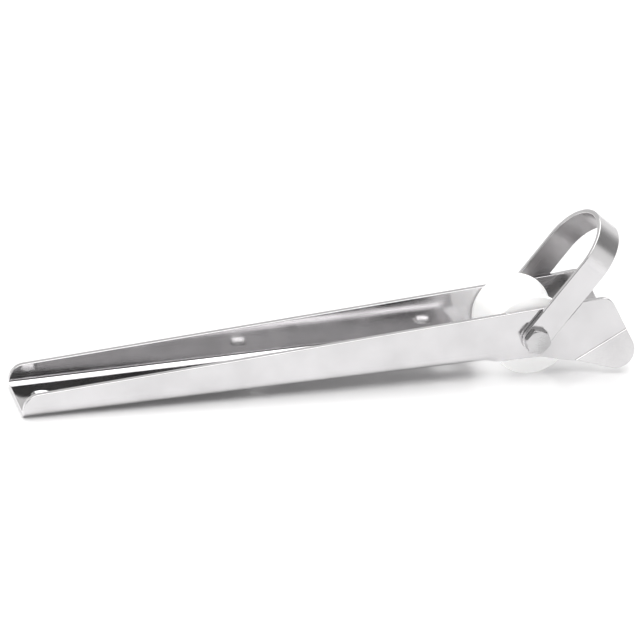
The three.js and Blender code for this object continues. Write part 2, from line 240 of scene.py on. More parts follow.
bpy.context.scene.view_settings.view_transform = "Standard"
print("room from", BY_THE_CAMERA, "around the camera to", OVERHEAD, "overhead")

# %% [markdown]
# ## Steel finishes
#
# The sheet and the flat bar are polished stainless: nearly mirror bright, but with the fine grain
# that the last polishing belt left along their length, and with faint patches where the polish is a
# little duller. A metal's colour is the colour of its reflection, so it stays a pale neutral grey.
# The grain is one noise stretched along the bar, and it moves both the roughness and a very
# shallow bump. Polishing stops where a wheel can't reach: inside the bail and between the cheeks
# the bar and sheet stay as the mill left them, duller and cloudy. There, and on the floor's
# underside, their darker tone is painted shade. The fasteners come off a lathe with their own,
# slightly darker, machined finish.

# %% Finishing steel
def new_finish(name):
    material = bpy.data.materials.new(name)
    material.use_nodes = True
    return material, material.node_tree.nodes, material.node_tree.links


def level(nodes, links, value, low, high):
    """Spreads a noise, which stays mostly between 0.3 and 0.7, over low to high."""
    step = nodes.new("ShaderNodeMapRange")
    step.inputs["From Min"].default_value = 0.3
    step.inputs["From Max"].default_value = 0.7
    step.inputs["To Min"].default_value = low
    step.inputs["To Max"].default_value = high
    links.new(value, step.inputs["Value"])
    return step.outputs["Result"]


def noise(nodes, links, place, scale, detail):
    texture = nodes.new("ShaderNodeTexNoise")
    texture.inputs["Scale"].default_value = scale
    texture.inputs["Detail"].default_value = detail
    links.new(place, texture.inputs["Vector"])
    return texture


def toned(nodes, links, share, dark, light, finish):
    """Colours a finish between two tones."""
    tint = nodes.new("ShaderNodeMix")
    tint.data_type = "RGBA"
    tint.inputs["A"].default_value = (*dark, 1)
    tint.inputs["B"].default_value = (*light, 1)
    links.new(share, tint.inputs["Factor"])
    links.new(tint.outputs["Result"], finish.inputs["Base Color"])


def embossed(nodes, links, height, strength, distance, finish):
    """Gives a finish a shallow relief."""
    bump = nodes.new("ShaderNodeBump")
    bump.inputs["Strength"].default_value = strength
    bump.inputs["Distance"].default_value = distance
    links.new(height, bump.inputs["Height"])
    links.new(bump.outputs["Normal"], finish.inputs["Normal"])


# %% Polished and mill finishes
GRAIN_LENGTH = 0.25
GRAIN_WIDTH = 0.0022


def polished_steel(name, tone, roughness, grain_angle=0.0, grain=0.04, patches=0.04, clouds=0.07):
    """grain and patches are how far each moves the roughness; clouds is how far the tone moves."""
    material, nodes, links = new_finish(name)
    steel = nodes["Principled BSDF"]
    steel.inputs["Metallic"].default_value = 1.0

    place = nodes.new("ShaderNodeTexCoord")
    along = nodes.new("ShaderNodeMapping")
    along.vector_type = "TEXTURE"
    along.inputs["Rotation"].default_value = (0, -grain_angle, 0)
    along.inputs["Scale"].default_value = (GRAIN_LENGTH, GRAIN_WIDTH, GRAIN_WIDTH)
    links.new(place.outputs["Object"], along.inputs["Vector"])
    belt = noise(nodes, links, along.outputs["Vector"], scale=5.0, detail=5.0)
    belt.inputs["Roughness"].default_value = 0.6
    patch = noise(nodes, links, place.outputs["Object"], scale=38.0, detail=3.0)

    rough = nodes.new("ShaderNodeMath")
    rough.operation = "ADD"
    links.new(level(nodes, links, belt.outputs["Fac"], roughness - grain, roughness + grain),
              rough.inputs[0])
    links.new(level(nodes, links, patch.outputs["Fac"], -patches, patches), rough.inputs[1])
    links.new(rough.outputs[0], steel.inputs["Roughness"])

    toned(nodes, links, level(nodes, links, patch.outputs["Fac"], 0, 1),
          [c * (1 - clouds) for c in tone], [c * (1 + clouds) for c in tone], steel)
    embossed(nodes, links, belt.outputs["Fac"], 0.05, 0.0002, steel)
    return material


STEEL_TONE = (0.69, 0.682, 0.69)
# The mill tone is the duller mill finish darkened further as painted shade, for faces between the cheeks, inside
# the bail and under the floor.
MILL_AND_SHADE_TONE = (0.40, 0.39, 0.395)
FASTENER_TONE = (0.56, 0.555, 0.56)
sheet_steel = polished_steel("sheet_steel", STEEL_TONE, roughness=0.12)
bar_steel = polished_steel("bar_steel", STEEL_TONE, roughness=0.17, grain_angle=BAIL_LEAN)
fastener_steel = polished_steel("fastener_steel", FASTENER_TONE, roughness=0.28, grain=0.03, clouds=0.2)
# These two mill finishes carry painted shade in their darker tone.
sheet_mill_and_shade = polished_steel("sheet_mill_and_shade", MILL_AND_SHADE_TONE, roughness=0.3, clouds=0.2)
bar_mill_and_shade = polished_steel("bar_mill_and_shade", MILL_AND_SHADE_TONE, roughness=0.32, grain_angle=BAIL_LEAN, clouds=0.25)
steel_finishes = (sheet_steel, bar_steel, fastener_steel, sheet_mill_and_shade, bar_mill_and_shade)
print("steel finishes:", [finish.name for finish in steel_finishes])

# %% [markdown]
# ## Nylon finish
#
# The roller, its thrust rings and the lock nut's ring are white nylon. Light enters it and scatters,
# so it never goes dark in shade. Subsurface scattering does that, and a faint emission, which is
# painted light, lifts it to the plain white that nylon has under strong lamps, even where it is
# shaded. A turned roller keeps fine tool rings round its axis. Rings round an axis are a noise that
# depends only on the distance along that axis and from it.

# %% Finishing nylon
NYLON_PAINTED_GLOW = 0.25
SCUFFS = 0.06


def white_nylon(name, tone, roughness):
    material, nodes, links = new_finish(name)
    nylon = nodes["Principled BSDF"]
    nylon.inputs["Subsurface Weight"].default_value = 0.25
    nylon.inputs["Subsurface Scale"].default_value = 0.002
    nylon.inputs["Subsurface Radius"].default_value = (1.0, 0.9, 0.8)
    # Painted light: a faint white emission keeps the nylon plain white where it is shaded.
    nylon.inputs["Emission Color"].default_value = (1, 1, 1, 1)
    nylon.inputs["Emission Strength"].default_value = NYLON_PAINTED_GLOW

    place = nodes.new("ShaderNodeTexCoord")
    from_axle = nodes.new("ShaderNodeVectorMath")
    from_axle.operation = "SUBTRACT"
    from_axle.inputs[1].default_value = axle
    links.new(place.outputs["Object"], from_axle.inputs[0])
    across = nodes.new("ShaderNodeVectorMath")
    across.operation = "MULTIPLY"
    across.inputs[1].default_value = (1, 0, 1)
    links.new(from_axle.outputs["Vector"], across.inputs[0])
    radius = nodes.new("ShaderNodeVectorMath")
    radius.operation = "LENGTH"
    links.new(across.outputs["Vector"], radius.inputs[0])
    along = nodes.new("ShaderNodeSeparateXYZ")
    links.new(from_axle.outputs["Vector"], along.inputs[0])
    ring_place = nodes.new("ShaderNodeCombineXYZ")
    links.new(radius.outputs["Value"], ring_place.inputs["X"])
    links.new(along.outputs["Y"], ring_place.inputs["Y"])
    rings = noise(nodes, links, ring_place.outputs["Vector"], scale=1400.0, detail=2.0)
    scuffs = noise(nodes, links, place.outputs["Object"], scale=70.0, detail=4.0)
    links.new(level(nodes, links, scuffs.outputs["Fac"], roughness - SCUFFS, roughness + SCUFFS),
              nylon.inputs["Roughness"])
    toned(nodes, links, scuffs.outputs["Fac"], [c * 0.97 for c in tone], tone, nylon)
    embossed(nodes, links, rings.outputs["Fac"], 0.12, 0.0001, nylon)
    return material


roller_nylon = white_nylon("roller_nylon", (0.93, 0.93, 0.925), roughness=0.38)
print("nylon finish:", roller_nylon.name)

# %% [markdown]
# ## Rounded outlines
#
# Sheet parts and turned parts both start as an outline on paper: a few corners, each with the
# radius that the maker gives it. One helper turns such corners into points, with an arc at each
# round corner, and it serves for blanks, for washers' sections and for the roller's profile.

# %% Outline helper
def rounded(corners, steps=8):
    """Points along a closed outline whose corners are (x, y, radius)."""
    points = []
    for i, (x, y, radius) in enumerate(corners):
        here = Vector((x, y))
        if not radius:
            points.append(here)
            continue
        back = (Vector(corners[i - 1][:2]) - here).normalized()
        on = (Vector(corners[(i + 1) % len(corners)][:2]) - here).normalized()
        half = back.angle(on) / 2
        centre = here + (back + on).normalized() * radius / math.sin(half)
        start = here + back * radius / math.tan(half) - centre
        turn = (math.pi - 2 * half) * (1 if back.cross(on) < 0 else -1)
        for k in range(steps + 1):
            spin = Matrix.Rotation(turn * k / steps, 2)
            points.append(centre + spin @ start)
    return points


def hole(x, y, radius, steps=48):
    """A circle drawn clockwise, so that the way out of the sheet is the way into the hole."""
    angles = [2 * math.pi * k / steps for k in reversed(range(steps))]
    return [Vector((x + radius * math.cos(a), y + radius * math.sin(a))) for a in angles]


rounded_square = rounded([(0, 0, 2), (9, 0, 2), (9, 9, 2), (0, 9, 2)])
print("a square with round corners has", len(rounded_square), "points")

# %% [markdown]
# ## Cutting and folding sheet
#
# A folded part is easiest to make as the workshop makes it: cut the flat blank, then fold it. The
# blank is drawn in flat coordinates, and a "place" function says where a point of it ends up after
# folding, at any depth through the sheet. Blender could solidify a surface and bevel its edges, but
# where long thin triangles meet a fold the bevel gets clamped. So the softened edge is drawn
# directly, as a small profile carried along the edge of the blank, and every shading normal comes
# from the same place function. That keeps flat faces truly flat in their reflections.

# %% Edges of a blank
def edge_normals(loop):
    """At each point of a closed loop, the way out of the sheet, long enough to offset both edges."""
    normals = []
    for i, here in enumerate(loop):
        before = (here - loop[i - 1]).normalized()
        after = (loop[(i + 1) % len(loop)] - here).normalized()
        n1 = Vector((before.y, -before.x))
        n2 = Vector((after.y, -after.x))
        normals.append((n1 + n2) / (1 + n1.dot(n2)))
    return normals


def split_at_line(points, normals, start, end):
    """Adds to a loop the points where the segment from start to end crosses it."""
    along = end - start
    out_points, out_normals = [], []
    for i, a in enumerate(points):
        b = points[(i + 1) % len(points)]
        out_points.append(a)
        out_normals.append(normals[i])
        side_a = along.cross(a - start)
        side_b = along.cross(b - start)
        if side_a * side_b >= 0:
            continue
        share = side_a / (side_a - side_b)
        crossing = a.lerp(b, share)
        reach = (crossing - start).dot(along) / along.length_squared
        if 0 <= reach <= 1 and 1e-4 < share < 1 - 1e-4:
            out_points.append(crossing)
            out_normals.append(normals[i].lerp(normals[(i + 1) % len(points)], share))
    return out_points, out_normals


# %% Edge profiles: (how far out, depth through the sheet, tilt of the surface in degrees)
def soft_edge(thickness, softness, steps=4):
    """A cut edge rubbed soft on both sides, from the inside face to the outside face."""
    half = thickness / 2
    turns = [math.radians(90 * k / steps) for k in range(steps + 1)]
    inside = [(softness * math.sin(a), -half + softness * (1 - math.cos(a)), math.degrees(a) - 90)
              for a in turns]
    return inside + [(out, -depth, -tilt) for out, depth, tilt in reversed(inside)]


def countersunk_edge(thickness, sink, softness):
    """A drilled hole with a sloped rim on the inside face."""
    half = thickness / 2
    return [
        (0, -half, -90),
        (softness, -half + softness / 2, -45),
        (sink - softness / 2, -half + sink - softness, -45),
        (sink, -half + sink, 0),
        (sink, half - softness, 0),
        (sink - softness / 3, half - softness / 3, 45),
        (sink - softness, half, 90),
        (0, half, 90),
    ]


# %% Folding a blank into a closed mesh
def folded_sheet(name, loops, folds, thickness, place, mill_and_shade):
    """loops: (points, edge profile), the outline first, counterclockwise, then the round holes,
    clockwise. folds: lines as pairs of flat points.
    place(flat point, depth) gives millimetres in the frame.
    The last argument (flat point, inside) says where a face takes the piece's second finish: the duller mill
    finish, whose darker tone is painted shade."""
    bm = bmesh.new()
    normals = []
    tiny = 0.01
    step_x, step_y = Vector((tiny, 0)), Vector((0, tiny))

    def surface_point(flat, depth, out, tilt):
        vertex = bm.verts.new(place(flat, depth) * MM)
        ahead = place(flat + step_x, depth) - place(flat - step_x, depth)
        across = place(flat + step_y, depth) - place(flat - step_y, depth)
        outwards = across.cross(ahead).normalized()
        if outwards.dot(place(flat, depth + tiny) - place(flat, depth - tiny)) < 0:
            outwards.negate()
        if abs(tilt) < 90:
            sideways = (place(flat + out * tiny, depth) - place(flat - out * tiny, depth)).normalized()
            a = math.radians(tilt)
            outwards = sideways * math.cos(a) + outwards * math.sin(a)
        elif tilt < 0:
            outwards = -outwards
        normals.append(outwards.normalized())
        return vertex

    flat_points, edges, rims = [], [], []
    for points, profile in loops:
        out = edge_normals(points)
        widest = max(step[0] for step in profile)
        inner = [p - n * widest for p, n in zip(points, out)]
        for start, end in folds:
            inner, out = split_at_line(inner, out, start, end)
        first = len(flat_points)
        flat_points += inner
        edges += [(first + i, first + (i + 1) % len(inner)) for i in range(len(inner))]
        rims.append((first, out, profile))
    for start, end in folds:
        edges.append((len(flat_points), len(flat_points) + 1))
        flat_points += [start, end]

    cut, _, triangles, sources, _, _ = delaunay_2d_cdt(flat_points, edges, [], 1, 1e-5)
    holes = []
    for first, out, _ in rims[1:]:
        rim = flat_points[first:first + len(out)]
        middle = sum(rim, Vector((0, 0))) / len(rim)
        holes.append((middle, (rim[0] - middle).length))

    def is_sheet(triangle):
        middle = sum((cut[i] for i in triangle), Vector((0, 0))) / 3
        return all((middle - centre).length > radius * 0.999 for centre, radius in holes)

    kept = [triangle for triangle in triangles if is_sheet(triangle)]
    used = sorted({i for triangle in kept for i in triangle})
    half = thickness / 2
    inside = {i: surface_point(cut[i], -half, None, -90) for i in used}
    outside = {i: surface_point(cut[i], half, None, 90) for i in used}
    for a, b, c in kept:
        face = bm.faces.new((inside[a], inside[b], inside[c]))
        middle = (cut[a] + cut[b] + cut[c]) / 3
        face.material_index = int(mill_and_shade(middle, True))
        face = bm.faces.new((outside[c], outside[b], outside[a]))
        face.material_index = int(mill_and_shade(middle, False))

    where = {source: i for i, found in enumerate(sources) for source in found}
    for first, out, profile in rims:
        columns = []
        for k, direction in enumerate(out):
            i = where[first + k]
            between = [surface_point(cut[i] + direction * distance, depth, direction, tilt)
                       for distance, depth, tilt in profile[1:-1]]
            columns.append([inside[i], *between, outside[i]])
        for k, column in enumerate(columns):
            after = columns[(k + 1) % len(columns)]
            for j in range(len(column) - 1):
                bm.faces.new((column[j], after[j], after[j + 1], column[j + 1]))

    bmesh.ops.recalc_face_normals(bm, faces=bm.faces)
    mesh = bpy.data.meshes.new(name)
    bm.to_mesh(mesh)
    bm.free()
    mesh.shade_smooth()
    mesh.normals_split_custom_set_from_vertices(normals)
    print(name, "has", len(used), "points in its blank and", len(mesh.polygons), "faces")
    return mesh


# %% [markdown]
# ## Joining a piece to the frame
#
# A piece rides on the body that moves it, takes the place of its CAD node, which is hidden, and
# gets its finishes as materials. An object parented by hand would move too.

# %% Putting a finished piece on its body
def add_piece(name, mesh, body, node, slot, *finishes):
    """finishes: the piece's finish, and on folded sheet a second one for its duller faces, darkened with painted
    shade.
    """
    piece = bpy.data.objects.new(name, mesh)
    bpy.context.scene.collection.objects.link(piece)
    for finish in finishes:
        piece.data.materials.append(finish)
    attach(piece, body)
    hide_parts(node)
    return piece


# %% [markdown]
# ## The channel
#
# The blank of the real channel is a long strip with two wings at its forward end. Folded up along
# two lines, its middle becomes the floor and its sides become walls, which climb from a low aft end
# to the height of the roller. Ahead of the floor the walls carry on by themselves as cheeks. Each
# cheek is folded outwards twice: a slight flare along a line that follows the leaning bail, and a
# lip below a crease, so that the anchor's shank is guided in and never meets an edge.
#
# Folding is done in code from the same sizes as the CAD model, with a true radius at each fold.
# Where the floor stops, the long folds unroll over a short length until the cheeks hang straight.

# %% Sizes of the sheet and its folds
SHEET = 4.0
MIDDLE = 26.0
MAIN_FOLD_RADIUS = 5.0
LIGHT_FOLD_RADIUS = 3.5
PRESSED_WIDTH = 1.8
flat_floor = MIDDLE - MAIN_FOLD_RADIUS
wall_start = flat_floor + MAIN_FOLD_RADIUS * math.pi / 2
fold_height = SHEET / 2 + MAIN_FOLD_RADIUS

FLOOR_TO_ROLLER = 7.0
floor_end = axle_from_aft - roller_radius - FLOOR_TO_ROLLER
UNROLL = 15.0
FLOOR_CORNER = 1.5
AFT_HEIGHT = 15.7
WALL_RISE = 0.054
AFT_CORNER = 11.0

CHEEK_REACH = 81.1
TOE_DROP = 20.3
TOE_RADIUS = 12.7
LIP_LENGTH = 49.6
HEEL_DROP = 6.2
HEEL_RADIUS = 20.0
LIP_RUN_UP = 28.0
CHEEK_RAKE = 25.3
CHEEK_TOP_RADIUS = 9.0
TOE = Vector((axle_from_aft + CHEEK_REACH, -TOE_DROP))
HEEL = Vector((TOE.x - LIP_LENGTH, -HEEL_DROP))
front_slope = math.tan(math.radians(CHEEK_RAKE))
top_z = (AFT_HEIGHT + WALL_RISE * (TOE.x + front_slope * TOE.y)) / (1 + WALL_RISE * front_slope)
cheek_top = Vector((TOE.x - (top_z - TOE.y) * front_slope, top_z))
print("floor ends", round(floor_end, 1), "from aft; cheek top", [round(c, 1) for c in cheek_top])


# %% Drawing the blank
def flat_across(height):
    """How far from the centre line of the blank a point of the wall lies, from its height when folded."""
    return height - fold_height + wall_start


wing = [
    (floor_end, flat_across(0), FLOOR_CORNER),
    (HEEL.x - LIP_RUN_UP, flat_across(0), HEEL_RADIUS),
    (HEEL.x, flat_across(HEEL.y), HEEL_RADIUS),
    (TOE.x, flat_across(TOE.y), TOE_RADIUS),
    (cheek_top.x, flat_across(cheek_top.y), CHEEK_TOP_RADIUS),
    (0, flat_across(AFT_HEIGHT), AFT_CORNER),
]
blank = rounded(wing + [(x, -y, radius) for x, y, radius in reversed(wing)], steps=10)

MAIN_FOLD_STEPS = 12
UNROLL_STEPS = 10
BEYOND_EDGE = 0.2
channel_folds = []
for side in (-1, 1):
    for k in range(MAIN_FOLD_STEPS + 1):
        across = flat_floor + (wall_start - flat_floor) * k / MAIN_FOLD_STEPS
        reach = UNROLL if across > flat_across(0) + BEYOND_EDGE else BEYOND_EDGE
        channel_folds.append((Vector((-1, side * across)), Vector((floor_end + reach, side * across))))
    for k in range(1, UNROLL_STEPS + 1):
        along = floor_end + UNROLL * k / UNROLL_STEPS
        channel_folds.append((Vector((along, side * (flat_across(0) - BEYOND_EDGE))),
                              Vector((along, side * wall_start))))
print("blank outline has", len(blank), "points")


# %% [markdown]
# ## Folding the cheeks outwards
#
# A light fold turns everything ahead of its line by a few degrees. Where a press makes it, the
# press's nose also sinks in a little and leaves a fine groove along the line. The groove is real
# shape here, a shallow dip across the fold, rather than a line painted in the finish, so it
# mirrors whatever part of the room its sides face, and is a light or a dark line by the view.

# %% The lip and the flare
class LightFold:
    """A fold of a side plate outwards, about a line through a point (x, height) at a slope.
    pressed: how deep the press's nose sinks in along the line, over PRESSED_WIDTH."""

    def __init__(self, point, slope_degrees, angle_degrees, pressed=0.0):
        self.pressed = pressed
        slope = math.radians(slope_degrees)
        self.point = point
        self.line = Vector((math.cos(slope), math.sin(slope)))
        self.ahead = Vector((math.sin(slope), -math.cos(slope)))
        self.angle = math.radians(angle_degrees)
        self.width = LIGHT_FOLD_RADIUS * self.angle

    def bent(self, spot, out):
        """Where (x, height) and the distance out of the plate's middle go."""
        along = (spot - self.point).dot(self.line)
        ahead = (spot - self.point).dot(self.ahead)
        start = -self.width / 2
        if self.pressed and abs(ahead) < PRESSED_WIDTH / 2:
            out -= self.pressed * (1 + math.cos(2 * math.pi * ahead / PRESSED_WIDTH)) / 2
        if ahead <= start:
            return spot, out
        turn = min((ahead - start) / LIGHT_FOLD_RADIUS, self.angle)
        beyond = max(0.0, ahead - self.width / 2)
        new_ahead = (start + (LIGHT_FOLD_RADIUS - out) * math.sin(turn) + beyond * math.cos(turn))
        new_out = LIGHT_FOLD_RADIUS - (LIGHT_FOLD_RADIUS - out) * math.cos(turn) + beyond * math.sin(turn)
        return self.point + self.line * along + self.ahead * new_ahead, new_out

    def lines(self, reach, steps):
        """Lines along the fold, from reach[0] behind its point to reach[1] ahead of it."""
        width = max(self.width, PRESSED_WIDTH if self.pressed else 0)
        for k in range(steps + 1):
            offset = self.point + self.ahead * width * (k / steps - 0.5)
            yield offset - self.line * reach[0], offset + self.line * reach[1]


CREASE_HEIGHT = 13.9
CREASE_SLOPE = 28.0
LIP_ANGLE = 9.0
PRESSED_DEPTH = 0.45
AXLE_TO_FLARE = 11.45
FLARE_ANGLE = 4.0
LIGHT_FOLD_STEPS = 8
crease_point = Vector((TOE.x - (CREASE_HEIGHT - TOE.y) * front_slope, CREASE_HEIGHT))
lip = LightFold(crease_point, CREASE_SLOPE, LIP_ANGLE, PRESSED_DEPTH)
flare_point = Vector((axle_from_aft + AXLE_TO_FLARE * math.sin(BAIL_LEAN),
                      axle_height - AXLE_TO_FLARE * math.cos(BAIL_LEAN)))
flare = LightFold(flare_point, math.degrees(BAIL_LEAN), FLARE_ANGLE)

lip_reach, flare_reach = (50, 6), (16, 48)
for side in (-1, 1):
    for fold, reach in ((lip, lip_reach), (flare, flare_reach)):
        for start, end in fold.lines(reach, LIGHT_FOLD_STEPS):
            channel_folds.append((Vector((start.x, side * flat_across(start.y))),
                                  Vector((end.x, side * flat_across(end.y)))))
print("lip turned", LIP_ANGLE, "degrees, flare", FLARE_ANGLE, "degrees")


# %% Folding the channel
origin = Vector((aft_x / MM, 0, 0))


def place_channel(flat, depth):
    """Where a point of the blank goes, in millimetres: floor, long fold, or wall and cheek."""
    side = math.copysign(1, flat.y)
    below_wall = wall_start - abs(flat.y)
    if below_wall > wall_start - flat_floor and flat.x < floor_end + BEYOND_EDGE:
        return Vector((flat.x, flat.y, SHEET / 2 - depth)) + origin
    unrolled = min(1.0, max(0.0, (flat.x - floor_end) / UNROLL))
    unrolled = unrolled * unrolled * (3 - 2 * unrolled)
    if below_wall > 0 and unrolled < 1:
        radius = MAIN_FOLD_RADIUS / (1 - unrolled)
        turn = below_wall / radius
        across = MIDDLE - radius + (radius + depth) * math.cos(turn)
        return Vector((flat.x, side * across, fold_height - (radius + depth) * math.sin(turn))) + origin
    spot, out = Vector((flat.x, fold_height - below_wall)), depth
    if unrolled == 1:
        spot, out = lip.bent(spot, out)
        spot, out = flare.bent(spot, out)
    return Vector((spot.x, side * (MIDDLE + out), spot.y)) + origin


floor_start = place_channel(Vector((0, 0)), SHEET / 2)
print("underside of the floor starts at", [round(c, 1) for c in floor_start])

# %% Drilling the channel
SOFT = 0.45
HOLE_RIM = 1.8
HOLE_SOFT = 0.2
DECK_HOLE_RADIUS = 5.25
AXLE_HOLE_RADIUS = 5.3
countersink = countersunk_edge(SHEET, HOLE_RIM, 0.15)
loops = [(blank, soft_edge(SHEET, SOFT))]
for place_along in sorted(deck_holes):
    loops.append((hole(place_along, 0, DECK_HOLE_RADIUS, 64), countersink))
for side in (-1, 1):
    centre_across = side * flat_across(axle_height)
    loops.append((hole(axle_from_aft, centre_across, AXLE_HOLE_RADIUS), soft_edge(SHEET, HOLE_SOFT)))
print("channel has", len(loops) - 1, "holes")

# %% Where the channel stays unpolished and darkened with painted shade, and the finished piece
MILL_AND_SHADE_BEFORE_AXLE = 8.0
cheeks_from = axle_from_aft - MILL_AND_SHADE_BEFORE_AXLE
for side in (-1, 1):
    channel_folds.append((Vector((cheeks_from, side * (flat_across(0) - BEYOND_EDGE))),
                          Vector((cheeks_from, side * flat_across(top_z + 5)))))


def mill_and_shade_sheet(flat, inside):
    """The cheeks' inner faces, where a wheel can't reach, and the underside, which lies on the deck, take the
    duller finish; its darker tone is painted shade.
    """
    if inside:
        return flat.x > cheeks_from
    return abs(flat.y) < flat_floor and flat.x < floor_end


channel_mesh = folded_sheet("channel_sheet", loops, channel_folds, SHEET, place_channel,
                            mill_and_shade=mill_and_shade_sheet)
add_piece("channel_sheet", channel_mesh, "channel_body", "channel", "stainless_sheet",
          sheet_steel, sheet_mill_and_shade)

# %% [markdown]
# ## The bail
#
# The bail is one length of flat bar with round ends, drilled at each end and bent into a loop round
# a former. It is the same work as the channel with only one fold, a half turn as wide as the
# channel, so the same helper makes it. It leans forward at rest, along the flare's fold. A curve
# object with a bevel would be quicker to bend, but its ends couldn't be rounded and drilled.

# %% Bending the bail
BAR_WIDTH = 18.5
BAR = 3.0
ARM_MIDDLE = 29.9
ARM_STRAIGHT = 59.0
loop_length = ARM_MIDDLE * math.pi / 2
arm_end = loop_length + ARM_STRAIGHT
arm_direction = Vector((math.cos(BAIL_LEAN), 0, math.sin(BAIL_LEAN)))
bar_across = Vector((math.sin(BAIL_LEAN), 0, -math.cos(BAIL_LEAN)))
axle_mm = axle / MM


def place_bail(flat, depth):
    side = math.copysign(1, flat.x)
    along = abs(flat.x)
    if along < loop_length:
        turn = along / ARM_MIDDLE
        out = ARM_STRAIGHT + (ARM_MIDDLE + depth) * math.cos(turn)
        sideways = side * (ARM_MIDDLE + depth) * math.sin(turn)
    else:
        out = ARM_STRAIGHT - (along - loop_length)
        sideways = side * (ARM_MIDDLE + depth)
    return axle_mm + arm_direction * out + bar_across * flat.y + Vector((0, sideways, 0))


half_bar = BAR_WIDTH / 2
end_round = half_bar * 0.999
bar_end = arm_end + half_bar
bar_outline = rounded([
    (-bar_end, -half_bar, end_round),
    (bar_end, -half_bar, end_round),
    (bar_end, half_bar, end_round),
    (-bar_end, half_bar, end_round),
], steps=20)
LOOP_STEPS = 30
BAR_SOFT = 0.5
bail_folds = []
for k in range(-LOOP_STEPS, LOOP_STEPS + 1):
    along = loop_length * k / LOOP_STEPS
    bail_folds.append((Vector((along, -half_bar - 1)), Vector((along, half_bar + 1))))
bail_loops = [(bar_outline, soft_edge(BAR, BAR_SOFT))]
for side in (-1, 1):
    bail_loops.append((hole(side * arm_end, 0, AXLE_HOLE_RADIUS), soft_edge(BAR, HOLE_SOFT)))
bail_mesh = folded_sheet("bail_bar", bail_loops, bail_folds, BAR, place_bail,
                         mill_and_shade=lambda flat, inside: inside)
add_piece("bail_bar", bail_mesh, "bail", "bail", "stainless_sheet", bar_steel, bar_mill_and_shade)

# %% [markdown]
# ## Turned pieces on the axle
#
# The roller, its steel sleeve and the washers come off a lathe, so each is one section swung round
# the axle. A Screw modifier could do that, but rings of points made in code also serve for the
# hexagons and the thread below, where the radius changes with the angle. Weighted normals keep the
# flat faces flat and let only the narrow softened edges curve.

# %% Rings to mesh
def lofted(name, rings, closed):
    """Skins rings of equally many points. A closed row of rings makes a ring-shaped solid."""
    bm = bmesh.new()
    rows = [[bm.verts.new(point * MM) for point in ring] for ring in rings]
    pairs = list(zip(rows, rows[1:]))
    if closed:
        pairs.append((rows[-1], rows[0]))
    else:
        bm.faces.new(rows[0])
        bm.faces.new(rows[-1])
    for low, high in pairs:
        for k in range(len(low)):
            after = (k + 1) % len(low)
            bm.faces.new((low[k], low[after], high[after], high[k]))
    bmesh.ops.recalc_face_normals(bm, faces=bm.faces)
    mesh = bpy.data.meshes.new(name)
    bm.to_mesh(mesh)
    bm.free()
    mesh.shade_smooth()
    return mesh


def ring_at(place, radius, steps=144):
    """Points round the axle at a place along Y. radius and place may be functions of the angle."""
    points = []
    for k in range(steps):
        angle = 2 * math.pi * k / steps
        r = radius(angle) if callable(radius) else radius
        y = place(angle) if callable(place) else place
        points.append(Vector((axle_mm.x + r * math.cos(angle), y, axle_mm.z + r * math.sin(angle))))
    return points


def add_lathed(name, mesh, body, node, slot, material):
    piece = add_piece(name, mesh, body, node, slot, material)
    piece.modifiers.new("flat faces", "WEIGHTED_NORMAL").keep_sharp = True


def add_turned(name, section, body, node, slot, material):
    """section: rounded points (radius, place along Y) of a ring-shaped piece."""
    mesh = lofted(name, [ring_at(point.y, point.x) for point in section], closed=True)
    add_lathed(name, mesh, body, node, slot, material)


def span(node):
    """Outer radius and lowest and highest place along Y of a piece on the axle, in millimetres."""
    low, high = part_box(node)
    return (high.x - low.x) / 2 / MM, low.y / MM, high.y / MM


roller_span = [round(size, 2) for size in span("anchor_roller")]
print("roller radius and its ends along the axle:", roller_span)

# %% [markdown]
# ## The roller
#
# The roller's groove is one arc between two flat lands, deep enough to keep the rope or chain in
# the middle. Its radius follows from the depth and from how far apart the lands are, so a change of
# either keeps the arc meeting the lands.

# %% Turning the roller
ROLLER_BORE = 7.3
BORE_ROUND = 0.5
END_ROUND = 1.0
LAND = 3.5
GROOVE_DEPTH = 9.0
groove_edge = roller_half_width - LAND
groove_radius = (groove_edge ** 2 + GROOVE_DEPTH ** 2) / (2 * GROOVE_DEPTH)
groove_spread = math.asin(groove_edge / groove_radius)
LAND_ROUND = 1.2
section = [
    (ROLLER_BORE, -roller_half_width, BORE_ROUND),
    (roller_radius, -roller_half_width, END_ROUND),
    (roller_radius, -groove_edge, LAND_ROUND),
]
GROOVE_STEPS = 40
for k in range(1, GROOVE_STEPS):
    angle = groove_spread * (2 * k / GROOVE_STEPS - 1)
    depth = GROOVE_DEPTH - groove_radius * (1 - math.cos(angle))
    section.append((roller_radius - depth, groove_radius * math.sin(angle), 0))
section += [
    (roller_radius, groove_edge, LAND_ROUND),
    (roller_radius, roller_half_width, END_ROUND),
    (ROLLER_BORE, roller_half_width, BORE_ROUND),
]
add_turned("turned_roller", rounded(section, 6), "roller", "anchor_roller", "white_nylon", roller_nylon)
print("groove radius", round(groove_radius, 1), "mm")


# %% Sleeve and washers
def add_ring(name, node, inner, soft, slot, material):
    """A plain ring of its CAD node's size, round a bore, with its corners rubbed soft."""
    outer, low, high = span(node)
    corners = [(inner, low, soft), (outer, low, soft), (outer, high, soft), (inner, high, soft)]
    add_turned(name, rounded(corners, 4), "channel_body", node, slot, material)
    print(name, "is", round(high - low, 2), "long")


BOLT_BORE = 5.3
RING_SOFT = 0.2
add_ring("roller_sleeve", "axle_sleeve", BOLT_BORE, RING_SOFT, "stainless_fastener", fastener_steel)
add_ring("nut_plain_washer", "nut_washer", BOLT_BORE, 0.25, "stainless_fastener", fastener_steel)
for side in ("near", "far"):
    add_ring(f"thrust_ring_{side}", f"roller_thrust_washer_{side}", ROLLER_BORE, RING_SOFT,
             "white_nylon", roller_nylon)

